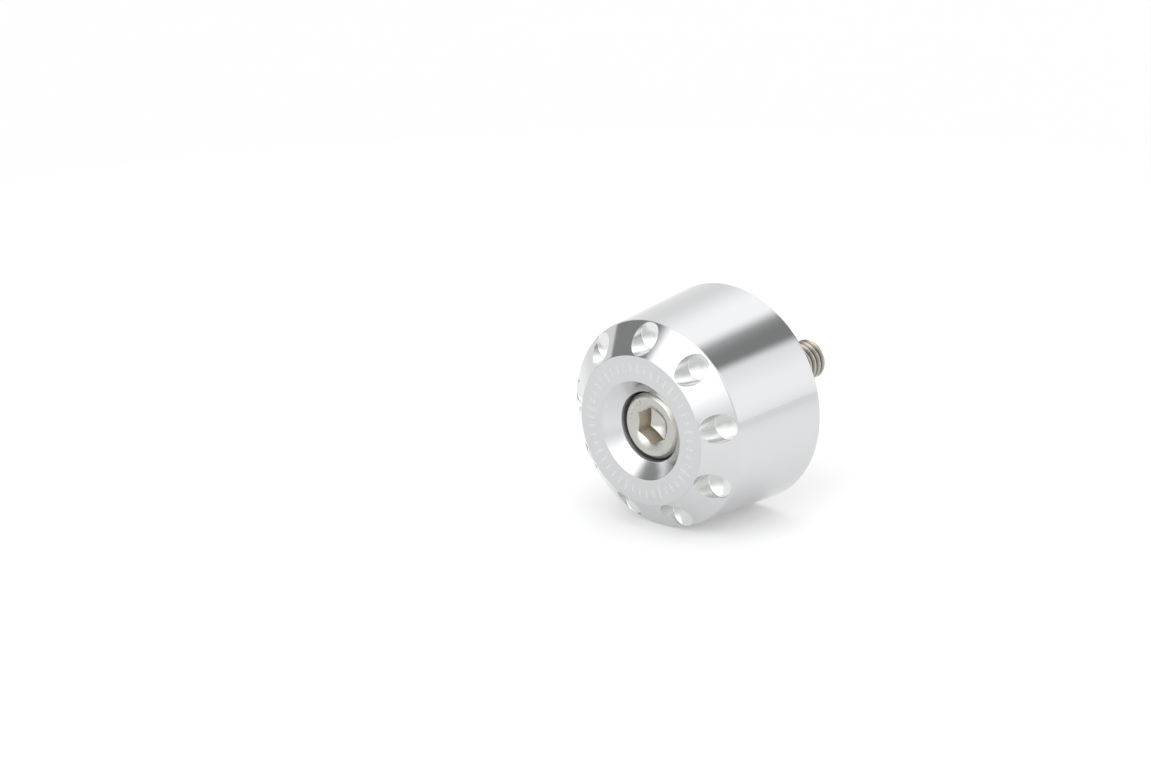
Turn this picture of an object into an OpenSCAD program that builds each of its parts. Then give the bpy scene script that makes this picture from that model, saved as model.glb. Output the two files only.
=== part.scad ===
// Bar end weight: a turned aluminium weight with a ring of drilled pockets in
// its front bevel, fixed to the end of a handlebar by one socket head cap screw.
// The axis lies along Y. The rear face, which seats on the bar, is at Y = 0,
// and the front faces -Y. Sizes are in millimetres.

/* [Weight] */
// Length from the rear face to the front face
body_len = 20.5; // [16:0.5:32]
// Diameter at the rear, where the side is widest
rear_d = 33; // [31:0.5:40]
// Diameter of the rim, where the side meets the front bevel
rim_d = 31; // [28:0.5:36]
// Length of the front bevel along the axis
bevel_len = 3.7; // [2.5:0.1:6]
// Width of the front bevel across the radius
bevel_w = 4.3; // [3:0.1:5]
// Break on the rear edges
rear_break = 0.15; // [0.1:0.05:1]

/* [Pockets] */
// Number of pockets round the bevel
pocket_n = 9; // [5:1:12]
// Diameter of a pocket
pocket_d = 4.2; // [2:0.1:5]
// Depth of a pocket's wall, from the front face
pocket_depth = 3.6; // [1.5:0.1:6]
// Extra depth of the pocket's floor at its middle
pocket_dip = 0.5; // [0.1:0.1:1.5]
// Land between a pocket and the rim
pocket_land = 0.05; // [0.05:0.05:1]
// Direction of the first pocket, where 90 is the top
pocket_start = 90; // [0:5:355]

/* [Dish and bore] */
// Width of the dish's sloping ring across the radius
dish_w = 2.1; // [1:0.1:3]
// Depth of the dish from the front face
dish_depth = 2; // [1:0.1:3]
// Gap round the screw's head
head_gap = 0.3; // [0.1:0.05:0.6]
// Drop of the screw's head below the dish
head_drop = 0.1; // [0:0.05:1]
// Gap round the screw's thread
thread_gap = 0.25; // [0.1:0.05:0.5]

/* [Screw] */
// Diameter over the thread's crests
thread_d = 6; // [5:0.5:6.5]
// Diameter of the thread where the weight covers it, midway up its flanks
covered_d = 5.35; // [4.2:0.05:5.5]
// Length of the screw under its head
screw_len = 31; // [25:1:50]
// Length and width of the chamfer on the screw's end
point_w = 0.4; // [0.3:0.1:1]
// Diameter of the head
head_d = 10; // [9:0.5:11]
// Height of the head
head_h = 6; // [5:0.5:8]
// Bevel round the top of the head
head_bevel = 0.6; // [0.1:0.05:0.8]
// Width of the hexagon socket across its flats
socket_af = 5; // [4:0.5:5]
// Depth of the socket's walls from the top of the head
socket_depth = 3.1; // [2.5:0.1:3.5]
// Flat land between the socket's walls and its conical bottom
bottom_land = 0.1; // [0.05:0.05:0.5]
// Angle of the socket's bottom, across the cone
bottom_angle = 120; // [110:5:170]
// Diameter of the countersunk mouth of the socket
mouth_d = 7.1; // [6:0.1:7.5]
// Angle of the socket's mouth, across the cone
mouth_angle = 120; // [90:5:140]
// Turn of the socket's corners
socket_turn = 26; // [0:1:59]

/* [Hidden] */
$fn = 96;
past = 1;                                          // cutting shapes run past a face by this
bore_r = thread_d / 2 + thread_gap;
counterbore_r = head_d / 2 + head_gap;
dish_r = counterbore_r + dish_w;
face_r = rim_d / 2 - bevel_w;
head_top = body_len - dish_depth - head_drop;      // height of the head's top above the rear face
seat = head_top - head_h;                          // height of the face that the head bears on
pocket_r = pocket_d / 2;
pocket_circle_r = rim_d / 2 - pocket_land - pocket_r;
socket_corner_d = socket_af / cos(30);

// Shapes are drawn upright, with heights above the rear face, and laid along -Y
module laid() {
    rotate([90, 0, 0]) children();
}

// The turned form: tapered side, front bevel, dish, counterbore and through bore
module turned_blank() {
    rotate_extrude() polygon([
        [bore_r, rear_break],
        [bore_r + rear_break, 0],
        [rear_d / 2 - rear_break, 0],
        [rear_d / 2, rear_break],
        [rim_d / 2, body_len - bevel_len],
        [face_r, body_len],
        [dish_r, body_len],
        [counterbore_r, body_len - dish_depth],
        [counterbore_r, seat],
        [bore_r, seat]
    ]);
}

// One pocket as its drill leaves it: a straight wall and a shallow cone for a floor
module pocket() {
    translate([pocket_circle_r, 0, body_len - pocket_depth])
        rotate_extrude() polygon([
            [0, -pocket_dip],
            [pocket_r, 0],
            [pocket_r, pocket_depth + past],
            [0, pocket_depth + past]
        ]);
}

module end_weight() {
    color([0.84, 0.85, 0.87])
        laid()
            difference() {
                turned_blank();
                for (i = [0 : pocket_n - 1])
                    rotate(pocket_start + i * 360 / pocket_n) pocket();
            }
}

// Head, shank and chamfered end. The thread is at its full diameter where it is free.
module screw_blank() {
    rotate_extrude() polygon([
        [0, seat - screw_len],
        [thread_d / 2 - point_w, seat - screw_len],
        [thread_d / 2, seat - screw_len + point_w],
        [thread_d / 2, 0],
        [covered_d / 2, 0],
        [covered_d / 2, seat],
        [head_d / 2, seat],
        [head_d / 2, head_top - head_bevel],
        [head_d / 2 - head_bevel, head_top],
        [0, head_top]
    ]);
}

// Hexagon hole with a countersunk mouth and a conical bottom
module socket() {
    mouth_slope = tan(mouth_angle / 2);
    mouth_h = mouth_d / 2 / mouth_slope;
    bottom_r = socket_af / 2 - bottom_land;
    bottom_h = bottom_r / tan(bottom_angle / 2);
    translate([0, 0, head_top - socket_depth])
        rotate(socket_turn)
            cylinder(h = socket_depth + past, d = socket_corner_d, $fn = 6);
    translate([0, 0, head_top - socket_depth - bottom_h])
        cylinder(h = bottom_h, r1 = 0, r2 = bottom_r);
    translate([0, 0, head_top - mouth_h])
        cylinder(h = mouth_h + past, r1 = 0, r2 = mouth_d / 2 + past * mouth_slope);
}

module cap_screw() {
    color([0.72, 0.70, 0.67])
        laid()
            difference() {
                screw_blank();
                socket();
            }
}

end_weight();
cap_screw();
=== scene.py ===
from math import atan, cos, pi, radians, sin, tan

import bpy
from mathutils import Matrix, Vector


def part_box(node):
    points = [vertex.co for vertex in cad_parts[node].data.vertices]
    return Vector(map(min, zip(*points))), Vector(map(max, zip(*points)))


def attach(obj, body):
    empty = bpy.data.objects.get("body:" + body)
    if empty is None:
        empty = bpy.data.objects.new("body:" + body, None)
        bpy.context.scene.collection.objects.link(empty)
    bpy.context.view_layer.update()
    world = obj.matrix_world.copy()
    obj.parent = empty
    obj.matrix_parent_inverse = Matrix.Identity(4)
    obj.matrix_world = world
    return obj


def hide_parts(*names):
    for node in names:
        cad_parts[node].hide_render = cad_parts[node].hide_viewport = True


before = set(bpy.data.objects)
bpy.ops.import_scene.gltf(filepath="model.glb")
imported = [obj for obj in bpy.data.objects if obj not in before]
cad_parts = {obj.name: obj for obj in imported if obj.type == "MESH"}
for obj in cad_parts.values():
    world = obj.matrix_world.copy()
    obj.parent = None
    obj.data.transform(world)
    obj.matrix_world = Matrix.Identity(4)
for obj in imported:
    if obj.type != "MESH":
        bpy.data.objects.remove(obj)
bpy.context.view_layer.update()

# A bar end weight of turned aluminium with its stainless cap screw, on a pale studio floor.
# The axis lies along Y: the rear face is at Y = 0 and the front face looks along -Y.
# Outlines give points as (radius, height above the rear face), and heights run along -Y.

MM = 0.001
WELD = 0.0005 * MM
QUARTER_TURN = pi / 2
FULL_TURN = 2 * pi
CENTRE = (0, 0, 0)
AXIS = (0, 1, 0)

# Sizes that the frame gives
weight_low, weight_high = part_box("end_weight")
screw_low, screw_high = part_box("cap_screw")
rear_r = weight_high.x
body_len = -weight_low.y
head_r = screw_high.x
head_top = -screw_low.y
screw_end = -screw_high.y

# The weight's turned outline
rim_r = 15.5 * MM
bevel_len = 3.7 * MM
bevel_w = 4.3 * MM
face_r = rim_r - bevel_w
head_gap = 0.3 * MM
dish_w = 2.1 * MM
dish_depth = 2.0 * MM
counterbore_r = head_r + head_gap
dish_r = counterbore_r + dish_w
head_h = 6.0 * MM
seat = head_top - head_h

# The pockets, the first of which is at the top
pocket_n = 9
pocket_r = 2.1 * MM
pocket_depth = 3.6 * MM
pocket_dip = 0.06 * MM
pocket_land = 0.05 * MM
pocket_axis_r = rim_r - pocket_land - pocket_r

# The screw
thread_r = 3.0 * MM
thread_gap = 0.25 * MM
thread_pitch = 1.0 * MM
point_w = 0.4 * MM
bore_r = thread_r + thread_gap
head_bevel = 0.6 * MM
socket_af = 5.0 * MM
socket_depth = 3.1 * MM
socket_turn = radians(26)
bottom_h = 1.386 * MM
mouth_r = 3.55 * MM
mouth_angle = radians(120)
mouth_slope = tan(mouth_angle / 2)

# Edge breaks that a turned part gets. The holding points beside a break keep the shading of its
# neighbours flat, and they lie this many breaks from the corner.
fine_break = 0.07 * MM
edge_break = 0.14 * MM
rear_break = 0.15 * MM
hold = 1.7

# How finely the round forms are cut
arc_steps = 4
weight_steps = 432
screw_steps = 144
thread_steps = 72
pocket_steps = 96
pocket_corner_steps = 4
smooth_angle = radians(32)

# Cutting forms run past the faces that they cut by this
past = 1.0 * MM


# Modelling
def deselect_all():
    bpy.ops.object.select_all(action="DESELECT")


def weld_and_shade(piece):
    """Welds a piece, points its faces outwards and shades it: smooth over the curved faces, and crisp
    where faces meet at more than the smooth angle."""
    deselect_all()
    piece.select_set(True)
    bpy.context.view_layer.objects.active = piece
    bpy.ops.object.mode_set(mode="EDIT")
    bpy.ops.mesh.select_all(action="SELECT")
    bpy.ops.mesh.remove_doubles(threshold=WELD)
    bpy.ops.mesh.dissolve_degenerate(threshold=WELD)
    bpy.ops.mesh.select_all(action="SELECT")
    bpy.ops.mesh.normals_make_consistent(inside=False)
    bpy.ops.object.mode_set(mode="OBJECT")
    bpy.ops.object.shade_smooth_by_angle(angle=smooth_angle)


def broken_edges(corners):
    """Points of an outline whose corners (radius, height, break) become short arcs between holding points."""
    points = []
    for index, (radius, height, size) in enumerate(corners):
        corner = Vector((radius, height))
        if size == 0:
            points.append(corner)
            continue
        back = (Vector(corners[index - 1][:2]) - corner).normalized() * size
        ahead = (Vector(corners[(index + 1) % len(corners)][:2]) - corner).normalized() * size
        points.append(corner + back * hold)
        for step in range(arc_steps + 1):
            along = step / arc_steps
            points.append(corner + back * (1 - along) ** 2 + ahead * along ** 2)
        points.append(corner + ahead * hold)
    return points


def draw_outline(name, outline, axis_x=0.0):
    """Draws an outline point by point from one vertex, beside an axis that is parallel to Y."""
    deselect_all()
    bpy.ops.mesh.primitive_plane_add(size=past)
    piece = bpy.context.object
    piece.name = piece.data.name = name
    bpy.ops.object.mode_set(mode="EDIT")
    bpy.ops.mesh.merge(type="CENTER")
    places = [Vector((axis_x + radius, -height, 0)) for radius, height in outline]
    bpy.ops.transform.translate(value=places[0])
    for here, there in zip(places, places[1:]):
        bpy.ops.mesh.extrude_region_move(TRANSFORM_OT_translate={"value": there - here})
    bpy.ops.mesh.select_all(action="SELECT")
    return piece


def spin_shut(steps, axis_x=0.0):
    """Spins the drawn outline all the way round its axis and closes the seam and the poles."""
    bpy.ops.mesh.spin(steps=steps, angle=FULL_TURN, center=(axis_x, 0, 0), axis=AXIS)
    bpy.ops.mesh.select_all(action="SELECT")
    bpy.ops.mesh.remove_doubles(threshold=WELD)
    bpy.ops.mesh.normals_make_consistent(inside=False)


def combine(piece, other, operation):
    """Cuts another form out of the piece, joins it on or keeps what both share. Faces keep their own
    material."""
    deselect_all()
    piece.select_set(True)
    bpy.context.view_layer.objects.active = piece
    bpy.ops.object.modifier_add(type="BOOLEAN")
    boolean = piece.modifiers[-1]
    boolean.operation = operation
    boolean.solver = "EXACT"
    boolean.material_mode = "TRANSFER"
    boolean.object = other
    bpy.ops.object.modifier_apply(modifier=boolean.name)
    bpy.data.objects.remove(other)


def pocket_cutters(finish):
    """One pocket's cutter, with the fine steps that it leaves on its floor, copied round the bevel."""
    ridges = 6
    ridge_h = 0.006 * MM
    corner = 0.14 * MM
    floor_height = body_len - pocket_depth
    floor_r = pocket_r - corner
    ridge_w = floor_r / ridges
    outline = [(0, floor_height - pocket_dip)]
    for ridge in range(1, ridges):
        radius = ridge * ridge_w
        height = floor_height - pocket_dip * (1 - ridge / ridges)
        outline.append((radius, height - ridge_h))
        outline.append((radius + ridge_w / 2, height + ridge_h))
    for step in range(pocket_corner_steps + 1):
        turn = QUARTER_TURN * step / pocket_corner_steps
        outline.append((floor_r + corner * sin(turn), floor_height + corner * (1 - cos(turn))))
    outline += [(pocket_r, body_len + past), (0, body_len + past)]
    cutters = draw_outline("pocket_cutters", outline, axis_x=pocket_axis_r)
    spin_shut(pocket_steps, axis_x=pocket_axis_r)
    bpy.ops.transform.rotate(value=QUARTER_TURN, orient_axis="Y", center_override=CENTRE)
    others = pocket_n - 1
    rest_of_turn = FULL_TURN * others / pocket_n
    bpy.ops.mesh.spin(steps=others, dupli=True, angle=rest_of_turn, center=CENTRE, axis=AXIS)
    bpy.ops.object.mode_set(mode="OBJECT")
    cutters.data.materials.append(finish)
    return cutters


def turned_weight(turned_finish, drilled_finish):
    """Tapered side, front bevel, flat ring, dish, counterbore and bore, with nine pockets in the bevel."""
    corners = [
        (bore_r, 0, rear_break),
        (rear_r, 0, rear_break),
        (rim_r, body_len - bevel_len, edge_break),
        (face_r, body_len, fine_break),
        (dish_r, body_len, fine_break),
        (counterbore_r, body_len - dish_depth, fine_break),
        (counterbore_r, seat, fine_break),
        (bore_r, seat, fine_break),
    ]
    outline = broken_edges(corners)
    weight = draw_outline("turned_weight", outline + outline[:1])
    spin_shut(weight_steps)
    bpy.ops.object.mode_set(mode="OBJECT")
    weight.data.materials.append(turned_finish)
    combine(weight, pocket_cutters(drilled_finish), "DIFFERENCE")
    weld_and_shade(weight)
    return weight


def thread_groove(finish):
    """The thread's groove as one long helical bar, from past the screw's end to two turns under its
    head. Its root is rounded, and it flares at the top, so that the crests are rounded too."""
    turns_left_plain = 2
    start = screw_end - thread_pitch
    # Depth below the crest and half width of the groove there, in millimetres
    section = [(0.54, 0.05), (0.5, 0.1), (0.08, 0.34), (0.02, 0.4), (0, 0.44), (-0.1, 0.45)]
    outline = [(thread_r - depth * MM, start + half_w * MM) for depth, half_w in section]
    outline += [(thread_r - depth * MM, start - half_w * MM) for depth, half_w in reversed(section)]
    groove = draw_outline("thread_groove", outline + outline[:1])
    bpy.ops.mesh.remove_doubles(threshold=WELD)
    bpy.ops.object.mode_set(mode="OBJECT")
    bpy.ops.object.modifier_add(type="SCREW")
    # With both its angle and its offset negative, the groove winds towards the head as a right-hand thread
    helix = groove.modifiers[-1]
    helix.axis = "Y"
    helix.angle = -FULL_TURN
    helix.steps = helix.render_steps = thread_steps
    helix.iterations = round((seat - start) / thread_pitch) - turns_left_plain
    helix.screw_offset = -thread_pitch
    helix.use_merge_vertices = False
    bpy.ops.object.modifier_apply(modifier=helix.name)
    bpy.ops.object.mode_set(mode="EDIT")
    bpy.ops.mesh.select_all(action="SELECT")
    bpy.ops.mesh.remove_doubles(threshold=WELD)
    bpy.ops.mesh.select_all(action="SELECT")
    bpy.ops.mesh.fill_holes(sides=0)
    bpy.ops.mesh.select_all(action="SELECT")
    bpy.ops.mesh.normals_make_consistent(inside=False)
    bpy.ops.object.mode_set(mode="OBJECT")
    groove.data.materials.append(finish)
    return groove


def turned_form(name, outline, finish):
    """A solid of revolution round the part's axis, with one finish."""
    form = draw_outline(name, outline)
    spin_shut(screw_steps)
    bpy.ops.object.mode_set(mode="OBJECT")
    form.data.materials.append(finish)
    return form


def socket_punch(wall_finish, end_finish):
    """The hexagon punch that leaves the socket. Its blunt conical end has the head's own finish."""
    half_side = pi / 6
    corner_r = socket_af / 2 / cos(half_side)
    bottom = head_top - socket_depth
    tip = bottom - bottom_h
    above = head_top + 2 * past
    height = head_top - tip + 2 * past
    deselect_all()
    bpy.ops.mesh.primitive_cylinder_add(
        vertices=6,
        radius=corner_r,
        depth=height,
        location=(0, past - tip - height / 2, 0),
        rotation=(QUARTER_TURN, half_side - socket_turn, 0),
    )
    punch = bpy.context.object
    bpy.ops.object.transform_apply()
    punch.data.materials.append(wall_finish)
    # The cone runs on past the hexagon's corners, which it meets where the walls end
    wide = 2 * corner_r
    outline = [(0, tip), (wide, bottom + bottom_h), (wide, above), (0, above)]
    combine(punch, turned_form("punch_end", outline, end_finish), "INTERSECT")
    return punch


def socket_mouth(finish):
    """The countersink at the socket's mouth."""
    outline = [
        (0, head_top - mouth_r / mouth_slope),
        (mouth_r + past * mouth_slope, head_top + past),
        (0, head_top + past),
    ]
    return turned_form("socket_mouth", outline, finish)


def head_marks(finish):
    """Plain raised bars on the head's face: five together, and one alone across from them."""
    width, length, rise = 0.3 * MM, 0.75 * MM, 0.1 * MM
    rounding = 0.8 * rise
    rounding_steps = 3
    mark_r = 3.95 * MM
    first, spacing, alone = radians(122), radians(13), radians(300)
    others = 4
    deselect_all()
    place = (mark_r, -head_top, 0)
    bpy.ops.mesh.primitive_cube_add(size=1.0, location=place, scale=(length, 2 * rise, width))
    bpy.ops.object.transform_apply()
    marks = bpy.context.object
    bpy.ops.object.mode_set(mode="EDIT")
    bpy.ops.mesh.select_all(action="SELECT")
    bpy.ops.mesh.bevel(offset=rounding, segments=rounding_steps)
    bpy.ops.mesh.select_all(action="SELECT")
    bpy.ops.transform.rotate(value=alone, orient_axis="Y", center_override=CENTRE)
    bpy.ops.mesh.spin(steps=1, dupli=True, angle=alone - first, center=CENTRE, axis=AXIS)
    bpy.ops.mesh.spin(steps=others, dupli=True, angle=others * spacing, center=CENTRE, axis=AXIS)
    bpy.ops.object.mode_set(mode="OBJECT")
    marks.data.materials.append(finish)
    return marks


def cap_screw(finish, socket_finish, thread_finish):
    """Bevelled head with its countersunk hexagon socket, and a threaded shank with a chamfered end."""
    corners = [
        (0, screw_end, 0),
        (thread_r - point_w, screw_end, fine_break),
        (thread_r, screw_end + point_w, fine_break),
        (thread_r, seat, fine_break),
        (head_r, seat, edge_break),
        (head_r, head_top - head_bevel, edge_break),
        (head_r - head_bevel, head_top, edge_break),
        (0, head_top, 0),
    ]
    screw = draw_outline("socket_screw", broken_edges(corners))
    spin_shut(screw_steps)
    bpy.ops.object.mode_set(mode="OBJECT")
    screw.data.materials.append(finish)
    screw.data.materials.append(thread_finish)
    # The shank's side has the thread's finish, and its end face and the head have the forged one
    for face in screw.data.polygons:
        face.material_index = int(screw_end + fine_break < -face.center.y < seat - fine_break)
    combine(screw, socket_punch(socket_finish, finish), "DIFFERENCE")
    combine(screw, socket_mouth(finish), "DIFFERENCE")
    combine(screw, thread_groove(thread_finish), "DIFFERENCE")
    combine(screw, head_marks(finish), "UNION")
    weld_and_shade(screw)
    return screw


# Materials
def linear(hex_colour):
    """An sRGB hex value as the linear colour that a shader takes."""
    channels = [int(hex_colour[i:i + 2], 16) / 255 for i in (0, 2, 4)]
    return [c / 12.92 if c <= 0.04045 else ((c + 0.055) / 1.055) ** 2.4 for c in channels] + [1]


def add(tree, kind, inputs=None, **settings):
    """Adds one node with its settings. An input is a value, a socket to link from, or a node, which
    stands for its first output."""
    node = tree.nodes.new(kind)
    for name, value in settings.items():
        setattr(node, name, value)
    for name, value in (inputs or {}).items():
        if isinstance(value, bpy.types.Node):
            value = value.outputs[0]
        if isinstance(value, bpy.types.NodeSocket):
            tree.links.new(value, node.inputs[name])
        else:
            node.inputs[name].default_value = value
    return node


def new_material(name):
    material = bpy.data.materials.new(name)
    material.use_nodes = True
    tree = material.node_tree
    tree.nodes.clear()
    return material, tree


def finish_metal(tree, inputs):
    """A metal surface at Blender's default IOR, joined to the material's output."""
    metal = add(tree, "ShaderNodeBsdfPrincipled", {"Metallic": 1.0} | inputs)
    add(tree, "ShaderNodeOutputMaterial", {"Surface": metal})


def lathe_place(tree):
    """Distance from the axis, angle round it and place along it, from Object coordinates."""
    place = add(tree, "ShaderNodeTexCoord").outputs["Object"]
    x, y, z = add(tree, "ShaderNodeSeparateXYZ", {0: place}).outputs
    across = add(tree, "ShaderNodeCombineXYZ", {"X": x, "Y": z})
    radius = add(tree, "ShaderNodeVectorMath", {0: across}, operation="LENGTH").outputs["Value"]
    angle = add(tree, "ShaderNodeMath", {0: z, 1: x}, operation="ARCTAN2")
    return radius, angle, y


def tool_rings(tree, radius, height, spacing):
    """Noise that changes only with radius and height, so it runs in rings as a tool's marks do."""
    rings = add(tree, "ShaderNodeCombineXYZ", {"X": radius, "Y": height})
    steps = add(tree, "ShaderNodeVectorMath", {0: rings, "Scale": 1 / spacing}, operation="SCALE")
    return add(tree, "ShaderNodeTexNoise", {"Vector": steps, "Scale": 1.0, "Detail": 2.0, "Roughness": 0.6})


def nearest_of(tree, angle, count):
    """Angle from the nearest of evenly spaced places, the first of which is at the top."""
    pitch = FULL_TURN / count
    shifted = add(tree, "ShaderNodeMath", {0: angle, 1: QUARTER_TURN - pitch / 2}, operation="SUBTRACT")
    within = add(tree, "ShaderNodeMath", {0: shifted, 1: pitch}, operation="FLOORED_MODULO")
    return add(tree, "ShaderNodeMath", {0: within, 1: pitch / 2}, operation="SUBTRACT")


def band(tree, value, middle, half, edge):
    """One where the value is nearer to the middle than half, and zero outside, with a soft edge."""
    off = add(tree, "ShaderNodeMath", {0: value, 1: middle}, operation="SUBTRACT")
    away = add(tree, "ShaderNodeMath", {0: off}, operation="ABSOLUTE")
    return add(tree, "ShaderNodeMapRange", {"Value": away, "From Min": half + edge, "From Max": half - edge})


def etched_scale(tree, radius, angle):
    """Mask of the marks on the flat front ring: a plain scale of short bars, longer beside each pocket."""
    edge = 0.03 * MM
    scale_r = 9.35 * MM
    # Number of bars, and half the width and length of each
    bars = [
        (5 * pocket_n, 0.18 * MM, 0.6 * MM),
        (pocket_n, 0.2 * MM, 0.95 * MM),
    ]
    marks = 0.0
    for count, half_w, half_l in bars:
        turn = nearest_of(tree, angle, count)
        aside = add(tree, "ShaderNodeMath", {0: turn, 1: radius}, operation="MULTIPLY")
        across = band(tree, aside, 0.0, half_w, edge)
        along = band(tree, radius, scale_r, half_l, edge)
        bar = add(tree, "ShaderNodeMath", {0: across, 1: along}, operation="MULTIPLY")
        marks = add(tree, "ShaderNodeMath", {0: bar, 1: marks}, operation="MAXIMUM")
    return marks


def clear_anodised_aluminium():
    """Finely turned and clear anodised: a bright grey mirror with faint rings from the tool, a little
    blurred in the dish and dull in the bores. The etched marks on the front ring scatter the light, so
    they look paler and warmer."""
    material, tree = new_material("clear_anodised_aluminium")
    feed = 0.12 * MM
    dish_edge = 0.1 * MM
    bore_edge = 0.05 * MM
    ring_depth = 0.1 * MM
    radius, angle, along_axis = lathe_place(tree)
    lines = tool_rings(tree, radius, along_axis, feed)
    fine = add(tree, "ShaderNodeMapRange", {"Value": lines, "To Min": 0.05, "To Max": 0.1})
    in_dish = add(
        tree,
        "ShaderNodeMapRange",
        {"Value": radius, "From Min": dish_r, "From Max": dish_r - dish_edge},
    )
    in_bore = add(
        tree,
        "ShaderNodeMapRange",
        {"Value": radius, "From Min": counterbore_r + bore_edge, "From Max": counterbore_r},
    )
    on_rear = add(tree, "ShaderNodeMath", {0: along_axis, 1: -rear_break}, operation="GREATER_THAN")
    on_ring = add(tree, "ShaderNodeMath", {0: along_axis, 1: ring_depth - body_len}, operation="LESS_THAN")
    scale = etched_scale(tree, radius, angle)
    marks = add(tree, "ShaderNodeMath", {0: scale, 1: on_ring}, operation="MULTIPLY")
    roughness = fine
    for place, value in ((in_dish, 0.22), (in_bore, 0.5), (on_rear, fine), (marks, 0.55)):
        roughness = add(tree, "ShaderNodeMix", {"Factor": place, 2: roughness, 3: value})
    # The flat front ring is painted a little darker than the rest: painted shade, standing in for the darker
    # reflection that the ring shows.
    ring_shade_colours = {"Factor": on_ring, 6: linear("D0D1D2"), 7: linear("C7C9CB")}
    ground_with_ring_shade = add(tree, "ShaderNodeMix", ring_shade_colours, data_type="RGBA")
    colours = {"Factor": marks, 6: ground_with_ring_shade.outputs[2], 7: linear("D3D3CF")}
    colour = add(tree, "ShaderNodeMix", colours, data_type="RGBA")
    bump = add(tree, "ShaderNodeBump", {"Height": lines, "Strength": 0.05, "Distance": 0.02 * MM})
    finish_metal(tree, {"Base Color": colour.outputs[2], "Roughness": roughness, "Normal": bump})
    return material


def drilled_aluminium():
    """Drilled with a flat-nosed tool before anodising: a little rougher than the turned faces, with the
    tool's rings round each pocket's own axis."""
    material, tree = new_material("drilled_aluminium")
    feed = 0.13 * MM
    radius, angle, along_axis = lathe_place(tree)
    turn = nearest_of(tree, angle, pocket_n)
    cosine = add(tree, "ShaderNodeMath", {0: turn}, operation="COSINE")
    sine = add(tree, "ShaderNodeMath", {0: turn}, operation="SINE")
    outward = add(tree, "ShaderNodeMath", {0: radius, 1: cosine, 2: -pocket_axis_r}, operation="MULTIPLY_ADD")
    aside = add(tree, "ShaderNodeMath", {0: radius, 1: sine}, operation="MULTIPLY")
    across = add(tree, "ShaderNodeCombineXYZ", {"X": outward, "Y": aside})
    off_axis = add(tree, "ShaderNodeVectorMath", {0: across}, operation="LENGTH").outputs["Value"]
    lines = tool_rings(tree, off_axis, along_axis, feed)
    bump = add(tree, "ShaderNodeBump", {"Height": lines, "Strength": 0.25, "Distance": 0.02 * MM})
    finish_metal(tree, {"Base Color": linear("DEDFDE"), "Roughness": 0.18, "Normal": bump})
    return material


def cold_forged_stainless():
    """Cold-forged stainless steel, tumbled: a warmer and darker grey than the aluminium, softly blurred.
    Its grain is drawn coarser than the real one, so that it shows."""
    material, tree = new_material("cold_forged_stainless")
    grain_w = 0.4 * MM
    place = add(tree, "ShaderNodeTexCoord").outputs["Object"]
    grain = add(tree, "ShaderNodeTexNoise", {"Vector": place, "Scale": 1 / grain_w, "Detail": 4.0})
    roughness = add(tree, "ShaderNodeMapRange", {"Value": grain, "To Min": 0.1, "To Max": 0.24})
    bump = add(tree, "ShaderNodeBump", {"Height": grain, "Strength": 0.15, "Distance": 0.03 * MM})
    finish_metal(tree, {"Base Color": linear("B9B8B3"), "Roughness": roughness, "Normal": bump})
    return material


def punched_stainless():
    """The socket's walls, dragged by the punch along the axis: duller and browner than the head."""
    material, tree = new_material("punched_stainless")
    drag_w = 0.12 * MM
    widths_long = 10
    place = add(tree, "ShaderNodeTexCoord").outputs["Object"]
    stretched = add(tree, "ShaderNodeMapping", {"Vector": place, "Scale": (1, 1 / widths_long, 1)})
    drag = add(tree, "ShaderNodeTexNoise", {"Vector": stretched, "Scale": 1 / drag_w, "Detail": 3.0})
    colours = {"Factor": drag, 6: linear("D4CCC0"), 7: linear("ECE5DA")}
    colour = add(tree, "ShaderNodeMix", colours, data_type="RGBA")
    bump = add(tree, "ShaderNodeBump", {"Height": drag, "Strength": 0.2, "Distance": 0.02 * MM})
    finish_metal(tree, {"Base Color": colour.outputs[2], "Roughness": 0.4, "Normal": bump})
    return material


def rolled_stainless():
    """Rolled stainless thread: bright on its rounded crests, and duller towards its roots, where its colour
    darkens to brown as painted shade in the groove.
    """
    material, tree = new_material("rolled_stainless")
    root_shade_r = 2.5 * MM
    bright_r = 2.98 * MM
    die_line_w = 0.1 * MM
    radius, _, along_axis = lathe_place(tree)
    lines = tool_rings(tree, radius, along_axis, die_line_w)
    rise = add(tree, "ShaderNodeMapRange", {"Value": radius, "From Min": root_shade_r, "From Max": bright_r})
    # The colour darkens to dark brown towards the roots: painted shade in the groove.
    colours = {"Factor": rise, 6: linear("3A332C"), 7: linear("BAB3A9")}
    colour = add(tree, "ShaderNodeMix", colours, data_type="RGBA")
    roughness = add(tree, "ShaderNodeMapRange", {"Value": rise, "To Min": 0.4, "To Max": 0.16})
    bump = add(tree, "ShaderNodeBump", {"Height": lines, "Strength": 0.2, "Distance": 0.02 * MM})
    finish_metal(tree, {"Base Color": colour.outputs[2], "Roughness": roughness, "Normal": bump})
    return material


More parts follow.
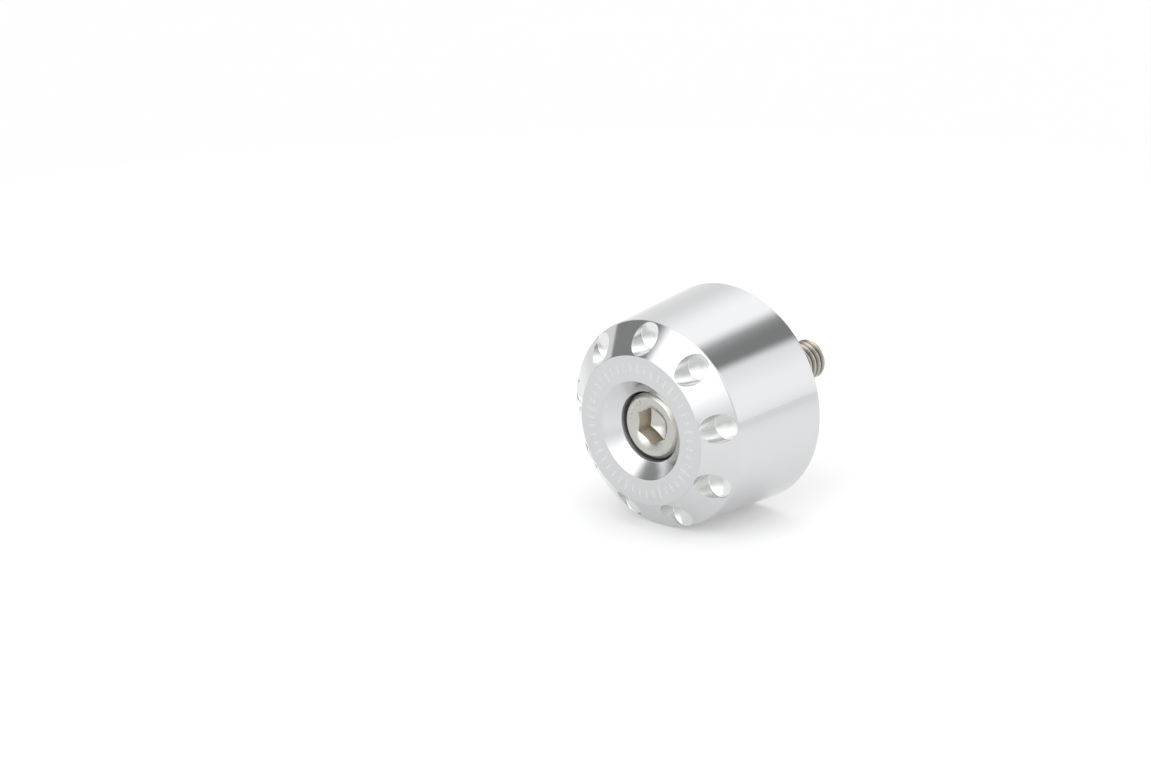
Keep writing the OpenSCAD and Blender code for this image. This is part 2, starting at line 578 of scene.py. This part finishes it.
def matt_white_sheet():
    """Matt white studio sheet. It glows a little, as painted light from below, so that contact shadows stay
    pale.
    Its colour is painted a little darker away from the weight, as a painted pool of the studio's light."""
    material, tree = new_material("matt_white_sheet")
    pool_r = 80 * MM
    dark_r = 240 * MM
    place = add(tree, "ShaderNodeTexCoord").outputs["Object"]
    distance = add(tree, "ShaderNodeVectorMath", {0: place}, operation="LENGTH").outputs["Value"]
    # Painted pool of light: the colour gets darker between these distances from the weight.
    outside_light_pool = add(tree, "ShaderNodeMapRange", {"Value": distance, "From Min": pool_r, "From Max": dark_r})
    colours = {"Factor": outside_light_pool, 6: linear("DCDCDC"), 7: linear("CACACA")}
    colour = add(tree, "ShaderNodeMix", colours, data_type="RGBA")
    sheet = add(
        tree,
        "ShaderNodeBsdfPrincipled",
        {
            "Base Color": colour.outputs[2],
            "Roughness": 0.9,
            # The emission is painted light: the sheet glows a little, as if lit from below, so that contact
            # shadows stay pale.
            "Emission Color": linear("FFFFFF"),
            "Emission Strength": 0.23,
        },
    )
    add(tree, "ShaderNodeOutputMaterial", {"Surface": sheet})
    return material


# The set
side_slope = (rear_r - rim_r) / (body_len - bevel_len)
floor_gap = 0.02 * MM
floor_w = 6000 * MM
# The weight lies with its first pocket a little past the top
past_top = radians(0.9)
roll = Matrix.Rotation(past_top, 4, "Y")

# Where the camera stands and aims, before the roll, and its lens in millimetres
camera_place = Vector((347.3, -411.9, 191.95)) * MM
camera_aim = Vector((-17.28, -14.93, 1.95)) * MM
focal_length = 122.0
sensor_w = 36.0


def studio_floor(finish):
    """The pale sheet that the weight's tapered side lies on."""
    deselect_all()
    bpy.ops.mesh.primitive_plane_add(size=floor_w)
    floor = bpy.context.object
    floor.name = "studio_floor"
    tilt = Matrix.Rotation(-atan(side_slope), 4, "X")
    floor.data.transform(roll @ Matrix.Translation((0, 0, -rear_r - floor_gap)) @ tilt)
    floor.data.materials.append(finish)


def heading(azimuth, elevation):
    """Unit vector for a direction in degrees, with azimuth from +Y towards +X."""
    a, e = radians(azimuth), radians(elevation)
    return Vector((sin(a) * cos(e), cos(a) * cos(e), sin(e)))


def studio_world():
    """A pale studio all round, with soft boxes and dark gaps where the metal mirrors them."""
    world = bpy.data.worlds.new("pale_studio")
    bpy.context.scene.world = world
    world.use_nodes = True
    tree = world.node_tree
    tree.nodes.clear()
    direction = add(tree, "ShaderNodeTexCoord").outputs["Generated"]
    # Azimuth and elevation, half width and height, softness of left, right and level edges, brightness
    patches = {
        "key_box": (177.5, 26, 27.5, 36, 0.63, 0.49, 0.68, 2.25),
        "top_box": (-7, 49, 23, 38, 0.65, 0.39, 0.37, 1.41),
        "side_box": (44, 12, 22, 16.5, 0.3, 0.3, 0.74, 1.3),
        "overhead_box": (75, 65, 28.5, 42, 0.43, 0.37, 0.79, 1.46),
        "gap_behind": (22.5, 37, 11, 16, 0.54, 0.29, 0.55, 0.3),
        "gap_at_left": (-114.5, 33, 17.5, 19.5, 0.33, 0.05, 0.39, 0.32),
    }
    # Brightness of the studio itself, which each patch then covers where it lies
    level = 0.96
    for azimuth, elevation, half_w, half_h, soft_left, soft_right, soft_level, brightness in patches.values():
        middle = heading(azimuth, elevation)
        right = heading(azimuth + 90, 0)
        up = right.cross(middle)
        along = add(tree, "ShaderNodeVectorMath", {0: direction, 1: middle}, operation="DOT_PRODUCT")
        ahead = along.outputs["Value"]
        mask = 1.0
        edges = [
            (right, -half_w, soft_left),
            (right, half_w, soft_right),
            (up, -half_h, soft_level),
            (up, half_h, soft_level),
        ]
        for axis, edge, soft in edges:
            across = add(tree, "ShaderNodeVectorMath", {0: direction, 1: axis}, operation="DOT_PRODUCT")
            aside = across.outputs["Value"]
            angle = add(tree, "ShaderNodeMath", {0: aside, 1: ahead}, operation="ARCTAN2")
            step = add(
                tree,
                "ShaderNodeMapRange",
                {
                    "Value": angle,
                    "From Min": radians(edge * (1 + soft)),
                    "From Max": radians(edge * (1 - soft)),
                },
                interpolation_type="SMOOTHSTEP",
            )
            mask = add(tree, "ShaderNodeMath", {0: step, 1: mask}, operation="MULTIPLY")
        level = add(tree, "ShaderNodeMix", {"Factor": mask, 2: level, 3: brightness})
    back = add(tree, "ShaderNodeBackground", {"Color": (1, 1, 1, 1), "Strength": level})
    add(tree, "ShaderNodeOutputWorld", {"Surface": back})


def photo_camera():
    """The photograph's own view: from in front and the +X side, a little above, through a long lens."""
    position = roll @ camera_place
    aim = roll @ camera_aim
    floor_up = (roll @ Vector((0, side_slope, 1))).normalized()
    back = (position - aim).normalized()
    right = floor_up.cross(back).normalized()
    up = back.cross(right)
    lens = bpy.data.cameras.new("photo_camera")
    lens.lens = focal_length
    lens.sensor_width = sensor_w
    lens.sensor_fit = "HORIZONTAL"
    lens.clip_start = 1 * MM
    camera = bpy.data.objects.new("photo_camera", lens)
    bpy.context.scene.collection.objects.link(camera)
    turn = Matrix((right, up, back)).transposed()
    camera.matrix_world = Matrix.Translation(position) @ turn.to_4x4()
    bpy.context.scene.camera = camera


# The pieces and the set, put together
turned_finish = clear_anodised_aluminium()
drilled_finish = drilled_aluminium()
forged_finish = cold_forged_stainless()
punched_finish = punched_stainless()
rolled_finish = rolled_stainless()

weight = turned_weight(turned_finish, drilled_finish)
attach(weight, "root")
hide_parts("end_weight")

screw = cap_screw(forged_finish, punched_finish, rolled_finish)
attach(screw, "root")
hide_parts("cap_screw")

studio_floor(matt_white_sheet())
studio_world()
photo_camera()
bpy.context.scene.view_settings.view_transform = "Standard"
